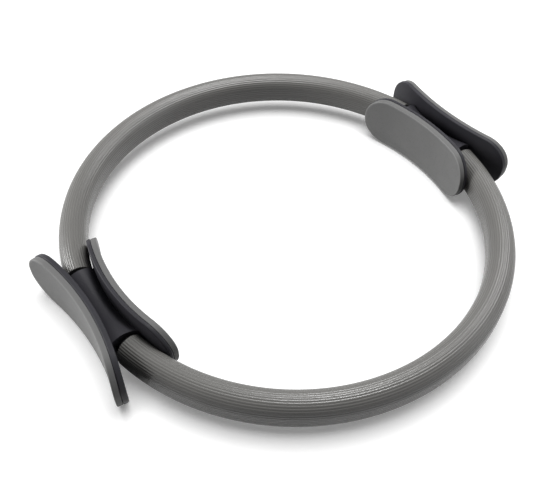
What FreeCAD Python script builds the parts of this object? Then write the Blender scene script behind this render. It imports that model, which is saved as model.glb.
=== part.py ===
"""Pilates ring: two ribbed half hoops on flat springs, clamped into two padded hand grips.

The ring lies flat with its middle at the origin and +Z up. The grips stand on the X axis, right at +X and
left at -X. The half hoops are named front, on the -Y side, and back, on the +Y side.
"""
import FreeCAD
import Part
import Sketcher
import math
import os
import re

# Driving dimensions, in millimetres, apart from the values named share.
SIZES = {
    # Half hoops: centreline radius, and how far each centre stands from the middle of the ring.
    "hoop_radius": 172.0,
    "hoop_offset": 4.0,
    # Ribbed sleeve: width, run of its flat sides, wall, ribs, and least gap before the hub.
    "sleeve_width": 21.6,
    "sleeve_side": 6.5,
    "sleeve_wall": 2.6,
    "rib_pitch": 2.05,
    "rib_depth": 0.5,
    "sleeve_gap": 1.6,
    # Foam core inside the sleeve: fit in the sleeve, least gap before the hub.
    "core_clearance": 0.2,
    "core_gap": 0.26,
    # Flat spring bands: section, distance from the centreline, fit in the core, end from the X axis.
    "band_thickness": 1.2,
    "band_height": 11.0,
    "band_spread": 3.6,
    "band_clearance": 0.15,
    "band_end": 1.0,
    # Grip hub: how far its axis stands inside the hoop's centreline, length, least wall round the springs,
    # how much wider its mouths are than its waist, and the fit of the springs in it.
    "hub_inset": 2.4,
    "hub_length": 69.0,
    "hub_wall": 1.3,
    "hub_flare": 4.6,
    "cavity_clearance": 0.4,
    # Grip plates: outline, thickness and room between each plate and the end of the sleeve; the radius of the
    # outer face's hollow, and the room between the inner plate's tips and the sleeve.
    "outer_length": 140.0,
    "outer_height": 51.0,
    "outer_hollow": 222.0,
    "outer_plate": 4.2,
    "outer_room": 0.1,
    "inner_length": 125.0,
    "inner_height": 49.0,
    "inner_plate": 3.2,
    "inner_room": 0.6,
    "tip_room": 0.75,
    "corner_share": 0.94,
    "plate_round": 1.0,
    # Pads: thickness, rounding of the front edge, distance inside the plate's edge, layer of glue.
    "pad_thickness": 4.8,
    "pad_round": 1.6,
    "pad_inset": 0.6,
    "glue_gap": 0.2,
    # Clamp block between the band ends: margin past its last hole and below the bands' edges, fit.
    "block_margin": 2.2,
    "block_inset": 0.5,
    "block_clearance": 0.3,
    # Screws and thin nuts that hold a grip together, and the least wall between a nut and the springs.
    "screw_near": 11.0,
    "screw_far": 26.0,
    "screw_thickness": 3.0,
    "screw_clearance": 0.3,
    "head_width": 6.2,
    "head_height": 1.6,
    "nut_corner": 6.2,
    "nut_height": 1.8,
    "nut_clearance": 0.1,
    "nut_wall": 1.0,
    "recess_room": 0.3,
    # How far a cut runs past what it cuts.
    "overrun": 2.0,
}

NUT_SIDES = 6
CREST_SHARE = 0.5
EDGE_SAMPLES = 5
HALF_TURN = 180
QUARTER_TURN = 90
ALONG_X = FreeCAD.Rotation(FreeCAD.Vector(0, 1, 0), QUARTER_TURN)
UPRIGHT = FreeCAD.Vector(0, 0, 1)
CENTRE = FreeCAD.Vector(0, 0, 0)
TOUCH = 1e-4

# Sizes worked out from the driving dimensions. Distances named corner, tip, back, centre and floor run from
# the hub's axis towards the face; those named radius and hollow are measured from the face's centre.
DERIVED = {
    "hub_reach": "hoop_radius - hub_inset",
    "core_half_width": "sleeve_width / 2 - sleeve_wall - core_clearance",
    # Ends of the sleeve's and core's centrelines, from the X axis. Their inner corners are nearest the hub.
    "sleeve_slope": "(hub_length / 2 + sleeve_gap - hoop_offset) / (hoop_radius - sleeve_width / 2)",
    "core_slope": "(hub_length / 2 + core_gap - hoop_offset) / (hoop_radius - core_half_width)",
    "sleeve_end": "hoop_offset + hoop_radius * sleeve_slope",
    "core_end": "hoop_offset + hoop_radius * core_slope",
    "hole_radius": "screw_thickness / 2 + screw_clearance",
    "recess_depth": "nut_height + recess_room",
    # The corners of the sleeve's end, and the sleeve beside the inner plate's tip.
    "outer_corner": "sqrt((hoop_radius + sleeve_width / 2)^2 - (sleeve_end - hoop_offset)^2) - hub_reach",
    "inner_corner": "hub_reach - sqrt((hoop_radius - sleeve_width / 2)^2 - (sleeve_end - hoop_offset)^2)",
    "inner_tip": "hub_reach - sqrt((hoop_radius - sleeve_width / 2)^2 - (inner_length / 2 - hoop_offset)^2)",
    # The two flat springs and the room for them in the hub.
    "band_outside": "hoop_radius + band_spread + band_thickness / 2",
    "band_inside": "hoop_radius - band_spread - band_thickness / 2",
    "outer_cavity": "band_outside + cavity_clearance - hub_reach",
    "inner_cavity": "hub_reach - sqrt(band_inside^2 - (hub_length / 2 - hoop_offset)^2) + cavity_clearance",
    "cavity_height": "band_height + 2 * cavity_clearance",
    "hub_waist": "sqrt(outer_cavity^2 + (cavity_height / 2)^2) + hub_wall",
    "hub_mouth": "hub_waist + hub_flare",
    # The outer plate passes the sleeve's end, and stands far enough out for a wall between springs and nuts.
    "outer_seat_radius": "outer_hollow + pad_thickness + glue_gap",
    "outer_back_radius": "outer_seat_radius + outer_plate",
    "outer_pass": "outer_corner + outer_room + sqrt(outer_back_radius^2 - sleeve_end^2)",
    "outer_stand": "outer_cavity + nut_wall + recess_depth + outer_seat_radius",
    "outer_centre": "max(outer_pass; outer_stand)",
    # The inner plate passes the sleeve's end and follows the sleeve as far as its own tip.
    "end_back": "inner_corner + inner_room",
    "tip_back": "inner_tip + tip_room",
    "tip_square": "tip_back^2 + (inner_length / 2)^2",
    "inner_centre": "(tip_square - end_back^2 - sleeve_end^2) / (2 * (tip_back - end_back))",
    "inner_back_radius": "sqrt((inner_centre - end_back)^2 + sleeve_end^2)",
    "inner_seat_radius": "inner_back_radius - inner_plate",
    "inner_hollow": "inner_seat_radius - glue_gap - pad_thickness",
    # Floors of the recesses for the nuts, under the outer pad, and for the heads, under the inner one.
    "outer_floor": "outer_centre - outer_seat_radius - recess_depth",
    "inner_floor": "inner_centre - inner_seat_radius - recess_depth",
    # The block between the springs, from the ring's middle.
    "block_length": "2 * (screw_far + hole_radius + block_margin)",
    "block_height": "band_height - 2 * block_inset",
    "between_bands": "hoop_radius + band_spread - band_thickness / 2",
    "block_inside": "band_inside + band_thickness + block_clearance",
    "block_outside": "sqrt(between_bands^2 - (block_length / 2 - hoop_offset)^2) - block_clearance",
}
SCREW_PLACES = ("-screw_far", "-screw_near", "screw_near", "screw_far")

doc = FreeCAD.newDocument("pilates_ring")
SUBPARTS = []


def formula(text):
    """Write a formula so that each size in it points at its cell."""

    def cell(word):
        name = word[0]
        return f"Sizes.{name}" if name in SIZES else f"Derived.{name}" if name in DERIVED else name

    return re.sub(r"[a-z_]+", cell, text)


def make_sheet(name, cells):
    """Make a sheet with a name and a value in each row, and the name as the value's alias."""
    sheet = doc.addObject("Spreadsheet::Sheet", name)
    for row, (alias, content) in enumerate(cells.items(), start=1):
        sheet.set(f"A{row}", alias)
        sheet.set(f"B{row}", content)
        sheet.setAlias(f"B{row}", alias)
    doc.recompute()
    return sheet


make_sheet("Sizes", {alias: str(number) for alias, number in SIZES.items()})
sheet = make_sheet("Derived", {alias: "=" + formula(text) for alias, text in DERIVED.items()})


def value(text):
    """Work a formula out as a plain number."""
    result = sheet.evalExpression(formula(text))
    return float(getattr(result, "Value", result))


def bind(target, **formulas):
    """Tie properties of an object to formulas."""
    for name, text in formulas.items():
        target.setExpression(name, formula(text))


def keep(target, name):
    """Name a finished sub-part."""
    target.Label = name
    SUBPARTS.append(target)
    return target


def place(target, turn, **bases):
    """Turn a finished sub-part about the upright axis and carry it along X or Y."""
    target.Placement = FreeCAD.Placement(CENTRE, FreeCAD.Rotation(UPRIGHT, turn))
    for axis, text in bases.items():
        target.setExpression(f"Placement.Base.{axis}", formula(text))


def sketch_on(body, role, name):
    """Open a sketch on one of the body's own origin planes."""
    sketch = body.newObject("Sketcher::SketchObject", name)
    plane = next(item for item in body.Origin.OriginFeatures if item.Role == role)
    sketch.AttachmentSupport = [(plane, "")]
    sketch.MapMode = "FlatFace"
    return sketch


def fix_point(sketch, edge, end, across, up):
    """Hold a point of a sketch at formulas measured from its origin."""
    for kind, text in (("DistanceX", across), ("DistanceY", up)):
        index = sketch.addConstraint(Sketcher.Constraint(kind, -1, 1, edge, end, value(text)))
        sketch.setExpression(f"Constraints[{index}]", formula(text))


def fix_radius(sketch, edge, radius):
    """Hold the radius of a round edge at a formula."""
    index = sketch.addConstraint(Sketcher.Constraint("Radius", edge, value(radius)))
    sketch.setExpression(f"Constraints[{index}]", formula(radius))


def arc_between(start, end, radius, side):
    """The short arc between two points, with its centre left of the way for side 1 and right of it for -1."""
    way = end - start
    left = UPRIGHT.cross(way)
    left.normalize()
    rise = math.sqrt(radius ** 2 - (way.Length / 2) ** 2)
    centre = (start + end) / 2 + left * side * rise
    first, last = (start, end) if side > 0 else (end, start)
    angles = [math.atan2(point.y - centre.y, point.x - centre.x) for point in (first, last)]
    return Part.ArcOfCircle(Part.Circle(centre, UPRIGHT, radius), *angles)


def outline(sketch, corners, arcs=None):
    """Draw a closed outline through corners given as formulas; arcs maps an edge to its radius and side."""
    arcs = arcs or {}
    points = [FreeCAD.Vector(value(across), value(up), 0) for across, up in corners]
    first = sketch.GeometryCount
    ends = []
    for index, start in enumerate(points):
        end = points[(index + 1) % len(points)]
        if index in arcs:
            radius, side = arcs[index]
            edge = sketch.addGeometry(arc_between(start, end, value(radius), side), False)
        else:
            edge = sketch.addGeometry(Part.LineSegment(start, end), False)
        forward = sketch.Geometry[edge].StartPoint.distanceToPoint(start) < TOUCH
        ends.append((1, 2) if forward else (2, 1))
    for index, (across, up) in enumerate(corners):
        following = (index + 1) % len(points)
        joint = (first + index, ends[index][1], first + following, ends[following][0])
        sketch.addConstraint(Sketcher.Constraint("Coincident", *joint))
        fix_point(sketch, first + index, ends[index][0], across, up)
    for index, (radius, _) in arcs.items():
        fix_radius(sketch, first + index, radius)


def rectangle(sketch, low, high, half_height):
    """Draw a rectangle between two places across, as high above the sketch's axis as below it."""
    down = f"-({half_height})"
    outline(sketch, [(low, down), (high, down), (high, half_height), (low, half_height)])


def rounded_rectangle(sketch, half_width, half_height, corner):
    """Draw a rectangle with rounded corners about the sketch's origin."""
    side, top = f"({half_width} - {corner})", f"({half_height} - {corner})"
    corners = [
        (half_width, f"-{top}"), (half_width, top), (side, half_height), (f"-{side}", half_height),
        (f"-{half_width}", top), (f"-{half_width}", f"-{top}"), (f"-{side}", f"-{half_height}"),
        (side, f"-{half_height}"),
    ]
    outline(sketch, corners, {index: (corner, 1) for index in range(1, len(corners), 2)})


def circle(sketch, across, radius):
    """Draw a circle centred on the sketch's horizontal axis."""
    middle = FreeCAD.Vector(value(across), 0, 0)
    edge = sketch.addGeometry(Part.Circle(middle, UPRIGHT, value(radius)), False)
    fix_point(sketch, edge, 3, across, "0")
    fix_radius(sketch, edge, radius)


def feature(body, kind, sketch, name, **formulas):
    """Add a sketch based feature to a body."""
    made = body.newObject(f"PartDesign::{kind}", name)
    made.Profile = sketch
    bind(made, **formulas)
    sketch.Visibility = False
    return made


def symmetric(body, kind, sketch, name, length):
    """Add a pad or pocket that runs equally far to both sides of its sketch."""
    made = feature(body, kind, sketch, name, Length=length)
    made.SideType = "Symmetric"
    return made


def round_edges(body, name, radius, chosen):
    """Round those edges of a body, so far, that a test picks."""
    doc.recompute()
    base = body.Tip
    edges = [f"Edge{index}" for index, edge in enumerate(base.Shape.Edges, start=1) if chosen(edge)]
    made = body.newObject("PartDesign::Fillet", name)
    made.Base = (base, edges)
    bind(made, Radius=radius)
    doc.recompute()


def edge_points(edge):
    """Points spread along an edge."""
    return edge.discretize(EDGE_SAMPLES)


# Half hoops: ribbed sleeve, foam core and the two flat springs


def hoop_angle(end):
    """Formula for the angle that a half hoop spans when it stops at a distance from the X axis."""
    return f"2 * acos(({end} - hoop_offset) / hoop_radius)"


# Lengthwise ribs over each round of the sleeve's section and along each of its flat sides.
ROUND_RIBS = round(math.pi * value("sleeve_width") / 2 / value("rib_pitch"))
SIDE_RIBS = round(value("sleeve_side") / value("rib_pitch"))


def section_point(station, radius):
    """A point of the sleeve's section, at a station that counts ribs from the top of its outer side."""
    straight = value("sleeve_side") / 2
    lap, rest = divmod(station, ROUND_RIBS + SIDE_RIBS)
    half = 1 - 2 * (lap % 2)
    angle = math.pi * min(rest / ROUND_RIBS, 1)
    down = max(rest - ROUND_RIBS, 0) / SIDE_RIBS
    across = radius * math.cos(angle)
    up = radius * math.sin(angle) + straight * (1 - 2 * down)
    return FreeCAD.Vector(value("hoop_radius") + half * across, 0, half * up)


def ribbed_face(radius, depth):
    """The sleeve's section, with one arc for each rib that rises a depth from its valleys to a radius."""
    ribs = 2 * (ROUND_RIBS + SIDE_RIBS)
    valleys = [section_point(rib, radius - depth) for rib in range(ribs)]
    crests = [section_point(rib + CREST_SHARE, radius) for rib in range(ribs)]
    edges = [Part.Arc(valleys[rib - 1], crests[rib - 1], valleys[rib]).toShape() for rib in range(ribs)]
    return Part.Face(Part.Wire(Part.__sortEdges__(edges)))


def plain_face(radius):
    """The sleeve's section without ribs, a stadium of a given radius."""
    rounds = ((0, ROUND_RIBS), (ROUND_RIBS + SIDE_RIBS, 2 * ROUND_RIBS + SIDE_RIBS))
    edges = []
    for first, last in rounds:
        points = [section_point(station, radius) for station in (first, (first + last) / 2, last)]
        edges.append(Part.Arc(*points).toShape())
    ends = [edge.Vertexes for edge in edges]
    edges.append(Part.makeLine(ends[0][-1].Point, ends[1][0].Point))
    edges.append(Part.makeLine(ends[1][-1].Point, ends[0][0].Point))
    return Part.Face(Part.Wire(Part.__sortEdges__(edges)))


def make_sleeve(name, turn, side):
    """A half hoop of soft tube, ribbed along its length and open at both ends."""
    radius = value("sleeve_width") / 2
    angle = value(hoop_angle("sleeve_end"))
    section = ribbed_face(radius, value("rib_depth")).cut(plain_face(radius - value("sleeve_wall")))
    section.rotate(CENTRE, UPRIGHT, -angle / 2)
    sleeve = doc.addObject("Part::Feature", name)
    sleeve.Shape = section.Faces[0].revolve(CENTRE, UPRIGHT, angle)
    place(keep(sleeve, name), turn, y=f"{side} * hoop_offset")


def hoop_body(name, turn, side, end):
    """Start a body turned about the upright axis of a half hoop, and give the sketch of its section."""
    body = keep(doc.addObject("PartDesign::Body", name), name)
    sketch = sketch_on(body, "XZ_Plane", f"{name}_section")
    turned = feature(body, "Revolution", sketch, f"{name}_hoop", Angle=hoop_angle(end))
    turned.ReferenceAxis = (sketch, ["V_Axis"])
    turned.Midplane = True
    place(body, turn, y=f"{side} * hoop_offset")
    return body, sketch


def stadium(sketch, half_width, rise):
    """Draw an upright stadium on the hoop's centreline: two half circles joined by straight sides."""
    middle, radius, height = value("hoop_radius"), value(half_width), value(rise)
    top = Part.Circle(FreeCAD.Vector(middle, height, 0), UPRIGHT, radius)
    bottom = Part.Circle(FreeCAD.Vector(middle, -height, 0), UPRIGHT, radius)
    over = sketch.addGeometry(Part.ArcOfCircle(top, 0, math.pi), False)
    under = sketch.addGeometry(Part.ArcOfCircle(bottom, math.pi, 2 * math.pi), False)
    inner = [FreeCAD.Vector(middle - radius, up, 0) for up in (height, -height)]
    outer = [FreeCAD.Vector(middle + radius, up, 0) for up in (-height, height)]
    inside = sketch.addGeometry(Part.LineSegment(*inner), False)
    outside = sketch.addGeometry(Part.LineSegment(*outer), False)
    for joint in ((over, 2, inside, 1), (inside, 2, under, 1), (under, 2, outside, 1), (outside, 2, over, 1)):
        sketch.addConstraint(Sketcher.Constraint("Tangent", *joint))
    fix_point(sketch, over, 3, "hoop_radius", rise)
    fix_point(sketch, under, 3, "hoop_radius", f"-{rise}")
    fix_radius(sketch, over, half_width)


def make_core(name, turn, side):
    """Foam that fills the sleeve, with a slot for each flat spring."""
    _, sketch = hoop_body(name, turn, side, "core_end")
    stadium(sketch, "core_half_width", "(sleeve_side / 2)")
    half_slot = "(band_thickness / 2 + band_clearance)"
    half_height = "(band_height / 2 + band_clearance)"
    for way in ("+", "-"):
        slot = f"hoop_radius {way} band_spread"
        rectangle(sketch, f"{slot} - {half_slot}", f"{slot} + {half_slot}", half_height)


def make_band(name, turn, side, way):
    """A flat spring bent to half a hoop, drilled at both ends for the grip screws."""
    body, sketch = hoop_body(name, turn, side, "band_end")
    middle = f"hoop_radius {way} band_spread"
    rectangle(sketch, f"{middle} - band_thickness / 2", f"{middle} + band_thickness / 2", "(band_height / 2)")
    holes = sketch_on(body, "XZ_Plane", f"{name}_holes")
    for screw in ("screw_near", "screw_far"):
        circle(holes, f"{screw} - hoop_offset", "hole_radius")
    symmetric(body, "Pocket", holes, f"{name}_drilled", "2 * (band_outside + overrun)")


# Grips: two shells, two pads, clamp block, screws and nuts


def grip_place(target, side, turned):
    """Set a piece of a grip on the grip's hub, facing the ring's middle when it is turned."""
    turn = HALF_TURN * ((side < 0) != turned)
    place(target, turn, x=f"{side} * hub_reach")


def strip(sketch, face, near, far, half_length):
    """Draw a plate's plan, a strip between two arcs about the centre of the face's hollow."""

    def reach(radius):
        return f"{face}_centre - sqrt(({radius})^2 - ({half_length})^2)"

    low = f"-({half_length})"
    corners = [(reach(near), low), (reach(near), half_length), (reach(far), half_length), (reach(far), low)]
    outline(sketch, corners, {0: (near, -1), 2: (far, 1)})


def on_outline(point, half_length, half_height, corner):
    """Whether a point, seen along the grip's X, lies on a rectangle with rounded corners."""
    over = abs(point.y) - half_length + corner
    above = abs(point.z) - half_height + corner
    depth = math.hypot(max(over, 0), max(above, 0)) + min(max(over, above), 0) - corner
    return abs(depth) < TOUCH


def trim_outline(body, name, face, inset):
    """Cut a plate to its rounded outline, and give a test for the edges that follow it."""
    half_length = f"({face}_length / 2 - {inset})"
    half_height = f"({face}_height / 2 - {inset})"
    corner = f"(corner_share * {half_height})"
    sketch = sketch_on(body, "YZ_Plane", f"{name}_outline")
    rounded_rectangle(sketch, half_length, half_height, corner)
    rectangle(sketch, f"-{half_length} - overrun", f"{half_length} + overrun", f"({half_height} + overrun)")
    symmetric(body, "Pocket", sketch, f"{name}_trimmed", f"2 * {face}_centre")
    length, height, radius = value(half_length), value(half_height), value(corner)

    def along_outline(edge):
        spread = edge.BoundBox.YLength + edge.BoundBox.ZLength
        points = edge_points(edge)
        return spread > TOUCH and all(on_outline(point, length, height, radius) for point in points)

    return along_outline


def make_shell(name, side, face):
    """Half of a grip's moulding: a curved plate and half of the waisted hub, with room for the springs."""
    body = keep(doc.addObject("PartDesign::Body", name), name)
    hub = sketch_on(body, "XY_Plane", f"{name}_hub_profile")
    half = "hub_length / 2"
    waist = f"(({half})^2 + hub_flare^2) / (2 * hub_flare)"
    corners = [("0", f"-{half}"), ("hub_mouth", f"-{half}"), ("hub_mouth", half), ("0", half)]
    outline(hub, corners, {1: (waist, -1)})
    barrel = feature(body, "Revolution", hub, f"{name}_hub")
    barrel.ReferenceAxis = (hub, ["V_Axis"])
    barrel.Angle = HALF_TURN
    barrel.Midplane = True

    trim = sketch_on(body, "XY_Plane", f"{name}_hub_limit")
    circle(trim, f"{face}_centre", f"{face}_seat_radius + {face}_plate / 2")
    symmetric(body, "Pocket", trim, f"{name}_hub_front", "2 * hub_mouth + overrun")

    plan = sketch_on(body, "XY_Plane", f"{name}_plan")
    strip(plan, face, f"{face}_seat_radius", f"{face}_back_radius", f"{face}_length / 2")
    symmetric(body, "Pad", plan, f"{name}_plate", f"{face}_height")
    along_outline = trim_outline(body, name, face, "0")
    round_edges(body, f"{name}_rim", "plate_round", along_outline)

    hollow = sketch_on(body, "XZ_Plane", f"{name}_hollow")
    rectangle(hollow, "-overrun", f"{face}_cavity", "cavity_height / 2")
    symmetric(body, "Pocket", hollow, f"{name}_cavity", "hub_length + overrun")

    holes = sketch_on(body, "YZ_Plane", f"{name}_holes")
    recess = sketch_on(body, "YZ_Plane", f"{name}_recess")
    recess.setExpression("AttachmentOffset.Base.z", formula(f"{face}_floor"))
    for screw in SCREW_PLACES:
        circle(holes, screw, "hole_radius")
        if face == "inner":
            circle(recess, screw, "head_width / 2 + screw_clearance")
        else:
            nut_outline(recess, screw, "(nut_corner / 2 + nut_clearance)")
    for cut in (holes, recess):
        pocket = feature(body, "Pocket", cut, f"{cut.Name}_cut")
        pocket.Type = "ThroughAll"
        pocket.Reversed = True
    grip_place(body, side, face == "inner")


def nut_outline(sketch, across, radius):
    """Draw a hexagon that stands on one of its corners."""
    step = 2 * HALF_TURN // NUT_SIDES
    angles = range(0, 2 * HALF_TURN, step)
    outline(sketch, [(f"{across} + {radius} * sin({angle})", f"{radius} * cos({angle})") for angle in angles])


def make_pad(name, side, face):
    """A soft pad on the face of a plate, with its front edge rounded over."""
    body = keep(doc.addObject("PartDesign::Body", name), name)
    front = f"{face}_hollow"
    plan = sketch_on(body, "XY_Plane", f"{name}_plan")
    strip(plan, face, front, f"{front} + pad_thickness", f"({face}_length / 2 - pad_inset)")
    symmetric(body, "Pad", plan, f"{name}_slab", f"{face}_height - 2 * pad_inset")
    along_outline = trim_outline(body, name, face, "pad_inset")
    centre, radius = value(f"{face}_centre"), value(front)

    def along_front(edge):
        distances = [math.hypot(point.x - centre, point.y) for point in edge_points(edge)]
        at_front = all(abs(distance - radius) < TOUCH for distance in distances)
        return at_front and along_outline(edge)

    round_edges(body, f"{name}_front", "pad_round", along_front)
    grip_place(body, side, face == "inner")


def make_block(name, side):
    """The spacer that keeps the spring ends apart inside the hub."""
    body = keep(doc.addObject("PartDesign::Body", name), name)
    sketch = sketch_on(body, "YZ_Plane", f"{name}_outline")
    rectangle(sketch, "-block_length / 2", "block_length / 2", "block_height / 2")
    for screw in SCREW_PLACES:
        circle(sketch, screw, "hole_radius")
    symmetric(body, "Pad", sketch, f"{name}_slab", "block_outside - block_inside")
    place(body, 0, x=f"{side} * (block_outside + block_inside) / 2")


def along_x(kind, name, start, place_y, **formulas):
    """Add a round or many-sided bar that points along X."""
    bar = doc.addObject(f"Part::{kind}", name)
    bind(bar, **formulas)
    bar.Placement = FreeCAD.Placement(CENTRE, ALONG_X)
    bar.setExpression("Placement.Base.x", formula(start))
    bar.setExpression("Placement.Base.y", formula(place_y))
    return bar


def join(kind, name, base, tool):
    """Combine two solids."""
    made = doc.addObject(f"Part::{kind}", name)
    made.Base = base
    made.Tool = tool
    return made


def group(name, members, side):
    """Keep like fasteners together as one sub-part of separate solids."""
    made = keep(doc.addObject("Part::Compound", name), name)
    made.Links = members
    grip_place(made, side, False)


def make_screws(name, side):
    """Screws that run from the inner shell's recesses to the nuts."""
    members = []
    for index, screw in enumerate(SCREW_PLACES):
        shank = along_x("Cylinder", f"{name}_shank_{index}", "-inner_floor", screw,
                        Radius="screw_thickness / 2", Height="inner_floor + outer_floor + nut_height")
        head = along_x("Cylinder", f"{name}_head_{index}", "-inner_floor - head_height", screw,
                       Radius="head_width / 2", Height="head_height")
        members.append(join("Fuse", f"{name}_{index}", head, shank))
    group(name, members, side)


def make_nuts(name, side):
    """Thin hexagon nuts in the outer shell's recesses."""
    members = []
    for index, screw in enumerate(SCREW_PLACES):
        body = along_x("Prism", f"{name}_body_{index}", "outer_floor", screw,
                       Circumradius="nut_corner / 2", Height="nut_height")
        body.Polygon = NUT_SIDES
        bore = along_x("Cylinder", f"{name}_bore_{index}", "outer_floor - overrun", screw,
                       Radius="screw_thickness / 2 + nut_clearance", Height="nut_height + 2 * overrun")
        members.append(join("Cut", f"{name}_{index}", body, bore))
    group(name, members, side)


for half, half_turn, half_side in (("front", -QUARTER_TURN, -1), ("back", QUARTER_TURN, 1)):
    make_sleeve(f"{half}_sleeve", half_turn, half_side)
    make_core(f"{half}_foam_core", half_turn, half_side)
    make_band(f"{half}_outer_band", half_turn, half_side, "+")
    make_band(f"{half}_inner_band", half_turn, half_side, "-")

for grip, grip_side in (("left", -1), ("right", 1)):
    for grip_face in ("outer", "inner"):
        make_shell(f"{grip}_{grip_face}_shell", grip_side, grip_face)
        make_pad(f"{grip}_{grip_face}_pad", grip_side, grip_face)
    make_block(f"{grip}_clamp_block", grip_side)
    make_screws(f"{grip}_screws", grip_side)
    make_nuts(f"{grip}_nuts", grip_side)

doc.recompute()

for item in doc.Objects:
    if "Invalid" in item.State or "Error" in item.State:
        raise RuntimeError(f"{item.Label} did not rebuild: {item.State}")
for item in SUBPARTS:
    if item.Shape.isNull() or not item.Shape.isValid():
        raise RuntimeError(f"{item.Label} has no valid shape")

os.makedirs("parts", exist_ok=True)
for item in SUBPARTS:
    item.Shape.exportStep(f"parts/{item.Label}.step")
    print(f"{item.Label}: {len(item.Shape.Solids)} solids, {item.Shape.Volume:.0f} cubic mm")
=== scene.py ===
"""Pilates ring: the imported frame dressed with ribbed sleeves, foam, springs, soft pads and moulded grips.

Everything is in metres in the frame's own axes. The ring lies flat with +Z up and its grips on the X axis.
Its two half hoops are named front, on the -Y side, and back, on the +Y side.
"""

import math

import bmesh
import bpy
import numpy as np
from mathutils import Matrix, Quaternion, Vector
from mathutils.geometry import tessellate_polygon


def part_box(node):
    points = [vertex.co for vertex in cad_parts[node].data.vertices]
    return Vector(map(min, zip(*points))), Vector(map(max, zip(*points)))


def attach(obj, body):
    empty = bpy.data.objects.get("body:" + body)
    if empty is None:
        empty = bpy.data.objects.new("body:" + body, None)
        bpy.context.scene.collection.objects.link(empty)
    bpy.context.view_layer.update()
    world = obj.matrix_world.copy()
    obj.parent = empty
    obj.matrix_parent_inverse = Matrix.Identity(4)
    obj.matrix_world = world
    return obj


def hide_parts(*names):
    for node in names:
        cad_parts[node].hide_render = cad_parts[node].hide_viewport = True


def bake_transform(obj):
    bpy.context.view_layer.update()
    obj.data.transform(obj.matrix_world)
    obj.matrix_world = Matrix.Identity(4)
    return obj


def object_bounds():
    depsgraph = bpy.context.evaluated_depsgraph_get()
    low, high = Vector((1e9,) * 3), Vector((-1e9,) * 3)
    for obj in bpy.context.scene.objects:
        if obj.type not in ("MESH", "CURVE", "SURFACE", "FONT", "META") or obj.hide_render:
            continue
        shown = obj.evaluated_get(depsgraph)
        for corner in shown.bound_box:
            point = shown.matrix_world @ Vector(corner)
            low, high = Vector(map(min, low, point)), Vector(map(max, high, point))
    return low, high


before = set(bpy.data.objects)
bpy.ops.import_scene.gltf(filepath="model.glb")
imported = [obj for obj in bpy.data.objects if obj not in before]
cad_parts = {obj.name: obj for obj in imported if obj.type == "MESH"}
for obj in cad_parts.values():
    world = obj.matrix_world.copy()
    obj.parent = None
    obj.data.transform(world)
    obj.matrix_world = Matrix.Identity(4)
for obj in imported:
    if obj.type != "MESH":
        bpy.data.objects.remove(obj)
CAD_LOW, CAD_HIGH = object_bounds()

MM = 0.001
HALVES = {"front": -1, "back": 1}
SIDES = {"left": -1, "right": 1}
FACES = {"outer": 1, "inner": -1}

# Half hoops: radius of the centreline, and how far its centre stands from the middle of the ring.
HOOP_RADIUS = 172 * MM
HOOP_OFFSET = 4 * MM
ARC_STEPS = 90

# Sleeve: ribs over each round of its section and along each flat side, their depth, the wall and the cut end.
ROUND_RIBS = 17
SIDE_RIBS = 3
RIBS = 2 * (ROUND_RIBS + SIDE_RIBS)
RIB_SAMPLES = 6
RIB_DEPTH = 0.27 * MM
SLEEVE_WALL = 2.6 * MM
SLEEVE_END_ROUND = 0.4 * MM

# Foam core: fit in the sleeve, and the slots for the flat springs.
CORE_FIT = 0.2 * MM
CORE_SAMPLES = 2
SLOT_PLACE = 3.6 * MM
SLOT_HALF_WIDTH = 0.75 * MM
SLOT_HALF_HEIGHT = 5.65 * MM

# Grip plates: half length and half height of each outline.
PLATE_HALF_LENGTH = {"outer": 70 * MM, "inner": 62.5 * MM}
PLATE_HALF_HEIGHT = {"outer": 25.5 * MM, "inner": 24.5 * MM}
CORNER_SHARE = 0.94

# Pads: radius of each hollow face, thickness at the middle, rounded front edge, crown and draft of the side.
FACE_HOLLOW = {"outer": 222 * MM, "inner": 163.6 * MM}
PAD_THICKNESS = 4.8 * MM
PAD_ROUND = 1.5 * MM
PAD_CROWN = 0.3 * MM
PAD_DRAFT = 0.25 * MM
OUTLINE_SAMPLES = 288
ROUND_SAMPLES = 7
FACE_SAMPLES = 12

# Camera at the photograph's view.
CAMERA_PLACE = Vector((-0.2466, -0.2993, 0.4170))
CAMERA_AIM = Vector((-0.0248, -0.0144, 0.0))
CAMERA_ROLL = math.radians(1.79)
CAMERA_LENS = 44.97

# Studio: round floor, its tone as it lights the ring and as the camera sees it, a faint glow in its shadows,
# even light all round, and soft boxes. One box lights the floor alone, and the others light the ring alone.
FLOOR_RADIUS = 0.85
FLOOR_SIDES = 96
FLOOR_BOUNCE = 0.10
FLOOR_SEEN = 0.9
FLOOR_GLOW = 0.22
SKY_STRENGTH = 0.05
FLOOR_BOX = "over_floor"
SOFT_BOXES = {
    "over_floor": {"place": (0.12, 0.15, 2.0), "size": 1.9, "power": 66.0},
    "above": {"place": (0.40, 0.23, 1.27), "size": 0.4, "power": 12.4},
    "right": {"place": (0.95, 0.08, 0.95), "size": 0.5, "power": 5.4},
    "behind_left": {"place": (-0.88, 0.88, 0.51), "size": 0.5, "power": 13.6},
    "right_front": {"place": (0.88, -0.88, 0.51), "size": 0.5, "power": 1.4},
}


# Meshes


def add_object(name, mesh, sharp_angle):
    """Put a mesh into the scene, smooth apart from the edges that turn by more than an angle."""
    mesh.shade_smooth()
    mesh.set_sharp_from_angle(angle=math.radians(sharp_angle))
    piece = bpy.data.objects.new(name, mesh)
    bpy.context.scene.collection.objects.link(piece)
    return piece


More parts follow.
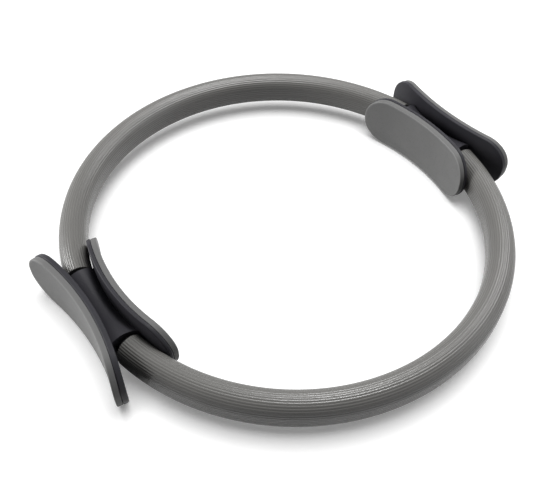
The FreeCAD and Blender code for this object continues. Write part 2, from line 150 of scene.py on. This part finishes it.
def closed_piece(name, points, faces, sharp_angle, **attributes):
    """Make a piece of a closed surface, with attributes that its material can read at each point.

    Points that meet are made one, and the surface is turned inside out if its signed volume, the sum of
    a . (b x c) / 6 over its triangles, is negative.
    """
    points, kept, merged = np.unique(points.round(7), axis=0, return_index=True, return_inverse=True)
    merged = merged.ravel().tolist()
    faces = [list(dict.fromkeys(merged[corner] for corner in face)) for face in faces]
    faces = [face for face in faces if len(face) > 2]
    fans = np.array([(face[0], face[k], face[k + 1]) for face in faces for k in range(1, len(face) - 1)])
    a, b, c = points[fans].transpose(1, 0, 2)
    if np.sum(a * np.cross(b, c)) < 0:
        faces = [face[::-1] for face in faces]
    mesh = bpy.data.meshes.new(name)
    mesh.from_pydata(points.tolist(), [], faces)
    for title, values in attributes.items():
        values = np.asarray(values, np.float32)[kept]
        kind, field = ("FLOAT", "value") if values.ndim == 1 else ("FLOAT_VECTOR", "vector")
        mesh.attributes.new(title, kind, "POINT").data.foreach_set(field, values.ravel())
    return add_object(name, mesh, sharp_angle)


def grid_faces(rows, columns, first=0, stride=None):
    """Quads between neighbouring rows of points, where each row is a closed loop."""
    stride = stride or columns
    row, column = np.meshgrid(np.arange(rows - 1), np.arange(columns), indexing="ij")
    following = (column + 1) % columns
    corners = ((row, column), (row, following), (row + 1, following), (row + 1, column))
    quads = np.stack([first + r * stride + c for r, c in corners], axis=-1)
    return quads.reshape(-1, 4).tolist()


# Half hoops: sleeve, foam core and flat springs


def section(stations, radius, rise):
    """Points across and up round an upright stadium, at stations that count ribs from its outer side's top.

    A round covers ROUND_RIBS stations as a half circle of the radius. A flat side covers SIDE_RIBS stations
    as a straight run of twice the rise. The second half of the loop is the first turned by half a turn.
    """
    lap, rest = np.divmod(stations, ROUND_RIBS + SIDE_RIBS)
    half = 1 - 2 * (lap % 2)
    angle = np.pi * np.minimum(rest / ROUND_RIBS, 1)
    down = np.maximum(rest - ROUND_RIBS, 0) / SIDE_RIBS
    across = radius * np.cos(angle)
    up = radius * np.sin(angle) + rise * (1 - 2 * down)
    return np.stack([half * across, half * up], axis=-1)


def rib_height(stations):
    """Height of the sleeve's surface from a valley, 0, to a crest, 1: a parabola over each rib."""
    return 1 - (2 * (stations % 1) - 1) ** 2


def sweep(name, sections, loops, angles, half, side, sharp_angle, **attributes):
    """A closed solid: section loops carried round a quarter of the ring and filled in at both ends.

    The section at angle a from the Y axis stands at x = side (R + across) sin a,
    y = half (offset + (R + across) cos a), z = up. The first loop is the outside and the others are holes.
    """
    across, up = sections.transpose(2, 0, 1)
    turn = angles[:, None]
    x = side * (HOOP_RADIUS + across) * np.sin(turn)
    y = half * (HOOP_OFFSET + (HOOP_RADIUS + across) * np.cos(turn))
    points = np.stack([x, y, up], axis=-1).reshape(-1, 3)
    stride = sections.shape[1]
    starts = np.concatenate([[0], np.cumsum(loops)[:-1]])
    faces = []
    for first, count in zip(starts, loops):
        faces += grid_faces(len(angles), count, first, stride)
    rims = [[Vector((*point, 0)) for point in sections[0, first:first + count]]
            for first, count in zip(starts, loops)]
    ends = np.array(tessellate_polygon(rims))
    a, b, c = sections[0][ends].transpose(1, 0, 2)
    turned = np.cross(b - a, c - a) > 0
    ends[turned] = ends[turned][:, ::-1]
    last = (len(angles) - 1) * stride
    faces += ends.tolist() + (ends[:, ::-1] + last).tolist()
    length = np.broadcast_to(HOOP_RADIUS * turn, across.shape)
    tube_place = np.stack([across, up, length], axis=-1).reshape(-1, 3)
    return closed_piece(name, points, faces, sharp_angle, tube_place=tube_place, **attributes)


def hoop_end(node):
    """Angle from the Y axis at which a back half hoop's node ends, found from the inner corner of its end."""
    low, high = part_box(node)
    half_width = high.y - HOOP_OFFSET - HOOP_RADIUS
    return math.acos((low.y - HOOP_OFFSET) / (HOOP_RADIUS - half_width))


def sleeve_rounds():
    """Radius of the rounds of the sleeve's section, and half the run of its flat sides."""
    low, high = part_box("back_sleeve")
    radius = high.y - HOOP_OFFSET - HOOP_RADIUS
    return radius, (high.z - low.z) / 2 - radius


def make_sleeve(name, half, side):
    """A quarter of the ribbed tube: ribs outside, a plain bore, and a cut end with an arc round its edge."""
    radius, rise = sleeve_rounds()
    stations = np.arange(RIBS * RIB_SAMPLES) / RIB_SAMPLES
    height = rib_height(stations)
    bore = section(np.arange(RIBS)[::-1], radius - SLEEVE_WALL, rise)
    end = hoop_end("back_sleeve")
    ease = np.linspace(0, 1, ROUND_SAMPLES)
    straight = np.linspace(0, end - SLEEVE_END_ROUND / HOOP_RADIUS, ARC_STEPS)[:-1]
    angles = np.concatenate([straight, end - SLEEVE_END_ROUND / HOOP_RADIUS * (1 - ease)])
    inset = np.concatenate([0 * straight, SLEEVE_END_ROUND * (1 - np.sqrt(1 - ease ** 2))])
    radii = radius - RIB_DEPTH * (1 - height) - inset[:, None]
    outside = section(stations, radii, rise)
    inside = np.broadcast_to(bore, (len(angles), *bore.shape))
    sections = np.concatenate([outside, inside], axis=1)
    rib = np.tile(np.concatenate([height, 0 * bore[:, 0]]), len(angles))
    return sweep(name, sections, [len(stations), len(bore)], angles, half, side, sharp_angle=50, rib=rib)


def make_core(name, half, side):
    """A quarter of the foam that fills the sleeve, with a slot for each flat spring."""
    radius, rise = sleeve_rounds()
    stations = np.arange(RIBS * CORE_SAMPLES) / CORE_SAMPLES
    outside = section(stations, radius - SLEEVE_WALL - CORE_FIT, rise)
    corners = np.array([(-1, -1), (-1, 1), (1, 1), (1, -1)]) * (SLOT_HALF_WIDTH, SLOT_HALF_HEIGHT)
    slots = [corners + (way * SLOT_PLACE, 0) for way in (-1, 1)]
    angles = np.linspace(0, hoop_end("back_foam_core"), ARC_STEPS)
    ring = np.concatenate([outside, *slots])
    sections = np.broadcast_to(ring, (len(angles), *ring.shape))
    loops = [len(outside), len(corners), len(corners)]
    return sweep(name, sections, loops, angles, half, side, sharp_angle=30)


def make_band(name, node, side):
    """One side of a flat spring: the frame's own shape, cut at the middle of the ring and closed there."""
    shape = bmesh.new()
    shape.from_mesh(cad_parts[node].data)
    bmesh.ops.remove_doubles(shape, verts=shape.verts, dist=MM * MM)
    everything = [*shape.verts, *shape.edges, *shape.faces]
    middle, away = (0, 0, 0), (-side, 0, 0)
    bmesh.ops.bisect_plane(shape, geom=everything, plane_co=middle, plane_no=away, clear_outer=True)
    bmesh.ops.holes_fill(shape, edges=[edge for edge in shape.edges if edge.is_boundary])
    bmesh.ops.recalc_face_normals(shape, faces=shape.faces)
    mesh = bpy.data.meshes.new(name)
    shape.to_mesh(mesh)
    shape.free()
    return add_object(name, mesh, sharp_angle=30)


def hoop_piece(piece, node, finish):
    """Give a quarter of a hoop its finish and put it in place of the frame's node, which is hidden."""
    dress(piece, finish)
    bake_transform(piece)
    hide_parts(node)


# Pads


def outline_points(half_length, half_height):
    """Points round a rectangle with rounded corners, and for each one a point of its long middle line.

    The loop starts at the middle of one end and is sampled evenly. Each corner is a quarter circle, the sides
    between them are straight, and the second half is the first turned by half a turn.
    """
    corner = CORNER_SHARE * half_height
    run, rise, bend = 2 * (half_length - corner), half_height - corner, corner * np.pi / 2
    stops = np.cumsum([0, rise, bend, run, bend, rise])
    count = OUTLINE_SAMPLES // 2
    way = np.arange(count) / count * stops[-1]
    angle = (np.clip(way - stops[1], 0, bend) + np.clip(way - stops[3], 0, bend)) / corner
    along = half_length - corner - np.clip(way - stops[2], 0, run)
    up = np.clip(way, 0, rise) - np.clip(way - stops[4], 0, rise)
    half = np.stack([along + corner * np.cos(angle), up + corner * np.sin(angle)], axis=-1)
    points = np.concatenate([half, -half])
    reach = half_length - half_height
    middle = np.stack([np.clip(points[:, 0], -reach, reach), 0 * points[:, 1]], axis=-1)
    return points, middle


def make_pad(name, node, face, facing):
    """A soft pad on a hollow face: flat back, side with a little draft, rounded front edge and crowned front.

    A ring of points is the outline drawn in towards its middle line, and stands at a height h above the back,
    which is an arc of radius R about an upright axis: x = back + facing (R - sqrt((R - h)^2 - y^2)).
    """
    low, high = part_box(node)
    outline, middle = outline_points((high.y - low.y) / 2, (high.z - low.z) / 2)
    reach = np.linalg.norm(outline - middle, axis=1)
    shoulder = PAD_THICKNESS - PAD_CROWN
    turn = np.linspace(0, np.pi / 2, ROUND_SAMPLES)
    edge_inset = PAD_DRAFT + PAD_ROUND * (1 - np.cos(turn))
    edge_height = shoulder - PAD_ROUND * (1 - np.sin(turn))
    over_face = np.linspace(1, 0, FACE_SAMPLES + 1)[1:]
    edge_share = 1 - np.concatenate([[0], edge_inset])[:, None] / reach
    face_share = over_face[:, None] * edge_share[-1]
    back_share = over_face[::-1, None] * edge_share[0]
    share = np.concatenate([back_share, edge_share, face_share])
    height = np.concatenate([0 * over_face, [0], edge_height, shoulder + PAD_CROWN * (1 - over_face ** 2)])
    y, z = (middle + share[..., None] * (outline - middle)).transpose(2, 0, 1)
    back_radius = FACE_HOLLOW[face] + PAD_THICKNESS
    back = low.x if facing > 0 else high.x
    x = back + facing * (back_radius - np.sqrt((back_radius - height[:, None]) ** 2 - y ** 2))
    points = np.stack([x, y, z], axis=-1).reshape(-1, 3)
    rim = np.broadcast_to(np.clip(1 - (1 - share) * reach / (2 * PAD_ROUND), 0, 1), share.shape)
    faces = grid_faces(len(height), OUTLINE_SAMPLES)
    return closed_piece(name, points, faces, sharp_angle=40, rim=rim.ravel())


# Finishes


class Value:
    """A shader value that takes part in Python sums: each operator adds a Math node to its tree."""

    def __init__(self, nodes, socket):
        self.nodes = nodes
        self.socket = socket

    def math(self, operation, *terms):
        return self.nodes.node("ShaderNodeMath", {"operation": operation}, dict(enumerate(terms)))

    def __add__(self, other):
        return self.math("ADD", self, other)

    def __radd__(self, other):
        return self.math("ADD", other, self)

    def __sub__(self, other):
        return self.math("SUBTRACT", self, other)

    def __rsub__(self, other):
        return self.math("SUBTRACT", other, self)

    def __mul__(self, other):
        return self.math("MULTIPLY", self, other)

    def __rmul__(self, other):
        return self.math("MULTIPLY", other, self)

    def __pow__(self, other):
        return self.math("POWER", self, other)

    def __abs__(self):
        return self.math("ABSOLUTE", self)

    def most(self, other):
        return self.math("MAXIMUM", self, other)

    def between(self, low, high):
        """Smooth step from 0 at low to 1 at high."""
        ends = {"Value": self, "From Min": low, "From Max": high}
        return self.nodes.node("ShaderNodeMapRange", {"interpolation_type": "SMOOTHSTEP"}, ends)


class Nodes:
    """The node tree of a material or a world, with one method that adds any node."""

    def __init__(self, owner):
        owner.use_nodes = True
        self.tree = owner.node_tree

    def node(self, kind, settings=None, inputs=None, output=0):
        """Add a node, set it up, then give its sockets values or links; gives one of its outputs."""
        made = self.tree.nodes.new(kind)
        for title, setting in (settings or {}).items():
            setattr(made, title, setting)
        for title, given in (inputs or {}).items():
            self.feed(made.inputs[title], given)
        return Value(self, made.outputs[output])

    def feed(self, socket, given):
        """Link a value to a socket, or set the socket to a constant."""
        if isinstance(given, Value):
            self.tree.links.new(given.socket, socket)
        elif socket.type == "RGBA":
            socket.default_value = (*given, 1)
        else:
            socket.default_value = given

    def complete(self, title, inputs):
        """Give values or links to the sockets of a node that was in the tree from the start."""
        for socket, given in inputs.items():
            self.feed(self.tree.nodes[title].inputs[socket], given)

    def seen_directly(self):
        """1 for rays from the camera, and for those that it sees mirrored or through something clear."""
        rays = ("Is Camera Ray", "Is Glossy Ray", "Is Transmission Ray")
        camera, mirrored, clear = (self.node("ShaderNodeLightPath", output=ray) for ray in rays)
        return camera.most(mirrored).most(clear)


class Finish(Nodes):
    """A material under construction."""

    def __init__(self, name, **constants):
        self.material = bpy.data.materials.new(name)
        super().__init__(self.material)
        named = {title.replace("_", " "): constant for title, constant in constants.items()}
        self.complete("Principled BSDF", named)
        self.object_place = self.node("ShaderNodeTexCoord", output="Object")

    def attribute(self, name, output):
        """A value that the mesh holds at each of its points."""
        return self.node("ShaderNodeAttribute", {"attribute_name": name}, output=output)

    def scaled(self, place, factors):
        """A place stretched along each axis."""
        return self.node("ShaderNodeVectorMath", {"operation": "MULTIPLY"}, {0: place, 1: factors})

    def axes(self, place):
        """The three coordinates of a place."""
        return [self.node("ShaderNodeSeparateXYZ", None, {0: place}, axis) for axis in range(3)]

    def noise(self, place, scale, detail=2.0, roughness=0.5):
        """Soft noise about 0.5, with features of about one over the scale."""
        inputs = {"Vector": place, "Scale": scale, "Detail": detail, "Roughness": roughness}
        return self.node("ShaderNodeTexNoise", None, inputs)

    def mix(self, share, first, second):
        """A colour between two colours."""
        return self.node("ShaderNodeMix", {"data_type": "RGBA"}, {0: share, 6: first, 7: second}, 2)

    def bump(self, height, distance, strength=1.0):
        """A normal that follows a height of 0 to 1 over a distance."""
        inputs = {"Strength": strength, "Distance": distance, "Height": height}
        return self.node("ShaderNodeBump", None, inputs)

    def cover(self, colour, roughness, normal):
        """Give the shader its varying inputs, and give back the finished material."""
        varying = {"Base Color": colour, "Roughness": roughness, "Normal": normal}
        self.complete("Principled BSDF", varying)
        return self.material


def ribbed_rubber():
    """Warm grey rubber drawn along the tube, with painted shade in the grooves, faint streaks and dull
    patches.
    """
    finish = Finish("ribbed_rubber", Specular_IOR_Level=0.5)
    place = finish.attribute("tube_place", "Vector")
    rib = finish.attribute("rib", "Fac")
    streak = finish.noise(finish.scaled(place, (700, 700, 9)), 1.0, 3)
    patch = finish.noise(finish.object_place, 22, 3)
    grain = finish.noise(finish.object_place, 2600, 2)
    # Painted shade: the rubber is darker down in the grooves between the ribs.
    tone = finish.mix(rib.between(0.0, 0.6), (0.127, 0.125, 0.118), (0.138, 0.135, 0.128))
    worn = finish.mix(0.25 * streak.between(0.35, 0.75), tone, (0.185, 0.181, 0.172))
    colour = finish.mix(0.16 * patch.between(0.4, 0.7), worn, (0.105, 0.103, 0.098))
    roughness = 0.20 + 0.05 * grain + 0.18 * (1 - rib)
    return finish.cover(colour, roughness, finish.bump(grain, 0.01 * MM, 0.25))


def pad_foam():
    """Matt grey foam rubber with a fine closed grain, with a painted highlight along its rounded front edge
    and painted shade on its side.
    """
    finish = Finish("pad_foam", Specular_IOR_Level=0.5)
    rim = finish.attribute("rim", "Fac")
    grain = finish.noise(finish.object_place, 1900, 3, 0.6)
    speck = finish.noise(finish.object_place, 620, 2)
    patch = finish.noise(finish.object_place, 30, 3)
    tone = finish.mix(patch.between(0.3, 0.7), (0.202, 0.202, 0.201), (0.226, 0.226, 0.224))
    # Painted highlight: the rounded front edge is paler, as if it caught the light.
    painted_edge_highlight = finish.mix(0.8 * rim.between(0.25, 0.5), tone, (0.268, 0.268, 0.266))
    # Painted shade: the side of the pad is darker, as if turned away from the light.
    cut = finish.mix(rim.between(0.68, 0.9), painted_edge_highlight, (0.118, 0.118, 0.117))
    colour = finish.mix(0.35 * speck.between(0.55, 0.8), cut, (0.105, 0.105, 0.104))
    roughness = 0.62 + 0.14 * grain - 0.06 * rim
    return finish.cover(colour, roughness, finish.bump(grain, 0.06 * MM, 0.5))


def moulded_charcoal(face):
    """Charcoal plastic with a fine moulded grain, darker and smoother where the plate's rim is handled.

    The rim is found from the distance to a rectangle with rounded corners, seen along X.
    """
    finish = Finish(f"moulded_charcoal_{face}", Specular_IOR_Level=0.13)
    half_length, half_height = PLATE_HALF_LENGTH[face], PLATE_HALF_HEIGHT[face]
    corner = CORNER_SHARE * half_height
    _, y, z = finish.axes(finish.object_place)
    over = (abs(y) - (half_length - corner)).most(0)
    above = (abs(z) - (half_height - corner)).most(0)
    inside = corner - (over ** 2 + above ** 2) ** 0.5
    grain = finish.noise(finish.object_place, 1500, 3, 0.55)
    patch = finish.noise(finish.object_place, 26, 3)
    handled = (1 - inside.between(0, 1.6 * MM)) * (0.35 + 0.65 * patch.between(0.35, 0.65))
    tone = finish.mix(patch.between(0.3, 0.7), (0.039, 0.038, 0.045), (0.049, 0.048, 0.055))
    colour = finish.mix(0.6 * handled, tone, (0.026, 0.026, 0.030))
    roughness = 0.40 + 0.14 * grain - 0.05 * handled
    return finish.cover(colour, roughness, finish.bump(grain, 0.05 * MM, 0.5))


def black_foam():
    """Black foam with open pores."""
    finish = Finish("black_foam", Specular_IOR_Level=0.2)
    pores = finish.noise(finish.object_place, 1100, 4, 0.7)
    colour = finish.mix(pores.between(0.35, 0.65), (0.004, 0.004, 0.004), (0.013, 0.013, 0.014))
    return finish.cover(colour, 0.80 + 0.15 * pores, finish.bump(pores, 0.2 * MM, 0.8))


def spring_steel():
    """Dark tempered spring steel, drawn along its length."""
    finish = Finish("spring_steel", Metallic=1.0)
    drawn = finish.noise(finish.scaled(finish.object_place, (60, 60, 2400)), 1.0, 3)
    heat = finish.noise(finish.object_place, 45, 2)
    tone = finish.mix(heat.between(0.35, 0.7), (0.10, 0.10, 0.11), (0.17, 0.165, 0.16))
    colour = finish.mix(0.4 * drawn, tone, (0.26, 0.26, 0.27))
    return finish.cover(colour, 0.34 + 0.2 * drawn, finish.bump(drawn, 0.01 * MM, 0.4))


def plated_steel():
    """Zinc plated steel with a faint tumbled texture."""
    finish = Finish("plated_steel", Metallic=1.0)
    tumbled = finish.noise(finish.object_place, 900, 3)
    cloud = finish.noise(finish.object_place, 160, 2)
    colour = finish.mix(cloud.between(0.35, 0.7), (0.44, 0.45, 0.46), (0.58, 0.58, 0.57))
    return finish.cover(colour, 0.26 + 0.2 * tumbled, finish.bump(tumbled, 0.01 * MM, 0.5))


def block_nylon():
    """Dull black nylon."""
    finish = Finish("block_nylon", Specular_IOR_Level=0.35)
    grain = finish.noise(finish.object_place, 1300, 3)
    colour = finish.mix(grain.between(0.3, 0.7), (0.020, 0.020, 0.021), (0.034, 0.034, 0.034))
    return finish.cover(colour, 0.50 + 0.16 * grain, finish.bump(grain, 0.04 * MM, 0.5))


def dress(piece, finish):
    """Give a piece its finish, in place of any that it has."""
    piece.data.materials.clear()
    piece.data.materials.append(finish)


# Studio


def white_floor():
    """White floor that keeps the ring's shadow: whiter as the camera sees it than as it lights the ring."""
    material = bpy.data.materials.new("white_floor")
    floor = Nodes(material)
    floor.tree.nodes.remove(floor.tree.nodes["Principled BSDF"])
    coats = []
    for tone, glow in ((FLOOR_BOUNCE, 0), (FLOOR_SEEN, FLOOR_GLOW)):
        matt = {"Base Color": (tone, tone, tone), "Roughness": 1, "Specular IOR Level": 0}
        coats.append(floor.node("ShaderNodeBsdfPrincipled", None, {**matt, "Emission Strength": glow}))
    bounce, seen = coats
    choice = floor.node("ShaderNodeMixShader", None, {0: floor.seen_directly(), 1: bounce, 2: seen})
    floor.complete("Material Output", {"Surface": choice})
    return material


def lit_collection(floor, state):
    """What a lamp lights: the floor alone if it is included, or all but the floor if it is excluded."""
    lit = bpy.data.collections.new(f"floor_{state.lower()}d")
    lit.objects.link(floor)
    lit.collection_objects[0].light_linking.link_state = state
    return lit


def add_soft_box(name, place, size, power, lit):
    """Hang a square soft box that faces the middle of the ring and lights what a collection tells it to."""
    lamp = bpy.data.lights.new(name, "AREA")
    lamp.shape = "SQUARE"
    lamp.size = size
    lamp.energy = power
    soft_box = bpy.data.objects.new(name, lamp)
    soft_box.location = place
    soft_box.rotation_mode = "QUATERNION"
    soft_box.rotation_quaternion = (-Vector(place)).to_track_quat("-Z", "Y")
    soft_box.light_linking.receiver_collection = lit
    bpy.context.scene.collection.objects.link(soft_box)


def make_floor():
    """Round floor that the ring lies on: a regular polygon about the Z axis."""
    turn = np.arange(FLOOR_SIDES) * 2 * np.pi / FLOOR_SIDES
    x, y = FLOOR_RADIUS * np.cos(turn), FLOOR_RADIUS * np.sin(turn)
    rim = np.stack([x, y, 0 * turn + CAD_LOW.z], axis=-1)
    mesh = bpy.data.meshes.new("floor")
    mesh.from_pydata(rim.tolist(), [], [range(FLOOR_SIDES)])
    mesh.materials.append(white_floor())
    floor = bpy.data.objects.new("floor", mesh)
    bpy.context.scene.collection.objects.link(floor)
    return floor


def make_light(floor):
    """Soft boxes round the ring, and even light from everywhere that is white where it is seen directly."""
    floor_alone, ring_alone = (lit_collection(floor, state) for state in ("INCLUDE", "EXCLUDE"))
    for name, settings in SOFT_BOXES.items():
        add_soft_box(name, **settings, lit=floor_alone if name == FLOOR_BOX else ring_alone)
    world = bpy.data.worlds.new("even_light")
    sky = Nodes(world)
    strength = SKY_STRENGTH + (1 - SKY_STRENGTH) * sky.seen_directly()
    sky.complete("Background", {"Color": (1, 1, 1), "Strength": strength})
    bpy.context.scene.world = world


def make_camera():
    """Camera at the photograph's view, turned about its own axis by the roll."""
    view = bpy.data.cameras.new("camera")
    view.lens = CAMERA_LENS
    camera = bpy.data.objects.new("camera", view)
    camera.location = CAMERA_PLACE
    camera.rotation_mode = "QUATERNION"
    aimed = (CAMERA_AIM - CAMERA_PLACE).to_track_quat("-Z", "Y")
    camera.rotation_quaternion = aimed @ Quaternion((0, 0, 1), CAMERA_ROLL)
    bpy.context.scene.collection.objects.link(camera)
    bpy.context.scene.camera = camera


# The ring


def make_hoops():
    """Both half hoops, each as two quarters that meet at the middle of the ring."""
    rubber, foam, steel = ribbed_rubber(), black_foam(), spring_steel()
    for half_name, half in HALVES.items():
        for side_name, side in SIDES.items():
            corner = f"{half_name}_{side_name}"
            sleeve = make_sleeve(f"{corner}_sleeve", half, side)
            hoop_piece(sleeve, f"{half_name}_sleeve", rubber)
            core = make_core(f"{corner}_foam_core", half, side)
            hoop_piece(core, f"{half_name}_foam_core", foam)
            for face in FACES:
                node = f"{half_name}_{face}_band"
                band = make_band(f"{corner}_{face}_band", node, side)
                hoop_piece(band, node, steel)


def make_grips():
    """Both grips: moulded shells with soft pads, and the block, screws and nuts inside."""
    pad_finish, steel, nylon = pad_foam(), plated_steel(), block_nylon()
    shell_finish = {face: moulded_charcoal(face) for face in FACES}
    for side_name, side in SIDES.items():
        for face, direction in FACES.items():
            dress(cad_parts[f"{side_name}_{face}_shell"], shell_finish[face])
            node = f"{side_name}_{face}_pad"
            pad = make_pad(f"{side_name}_{face}_soft_pad", node, face, side * direction)
            dress(pad, pad_finish)
            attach(pad, f"{side_name}_grip")
            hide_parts(node)
        for inside, finish in (("clamp_block", nylon), ("screws", steel), ("nuts", steel)):
            dress(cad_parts[f"{side_name}_{inside}"], finish)


bpy.context.scene.view_settings.view_transform = "Standard"
make_hoops()
make_grips()
make_light(make_floor())
make_camera()
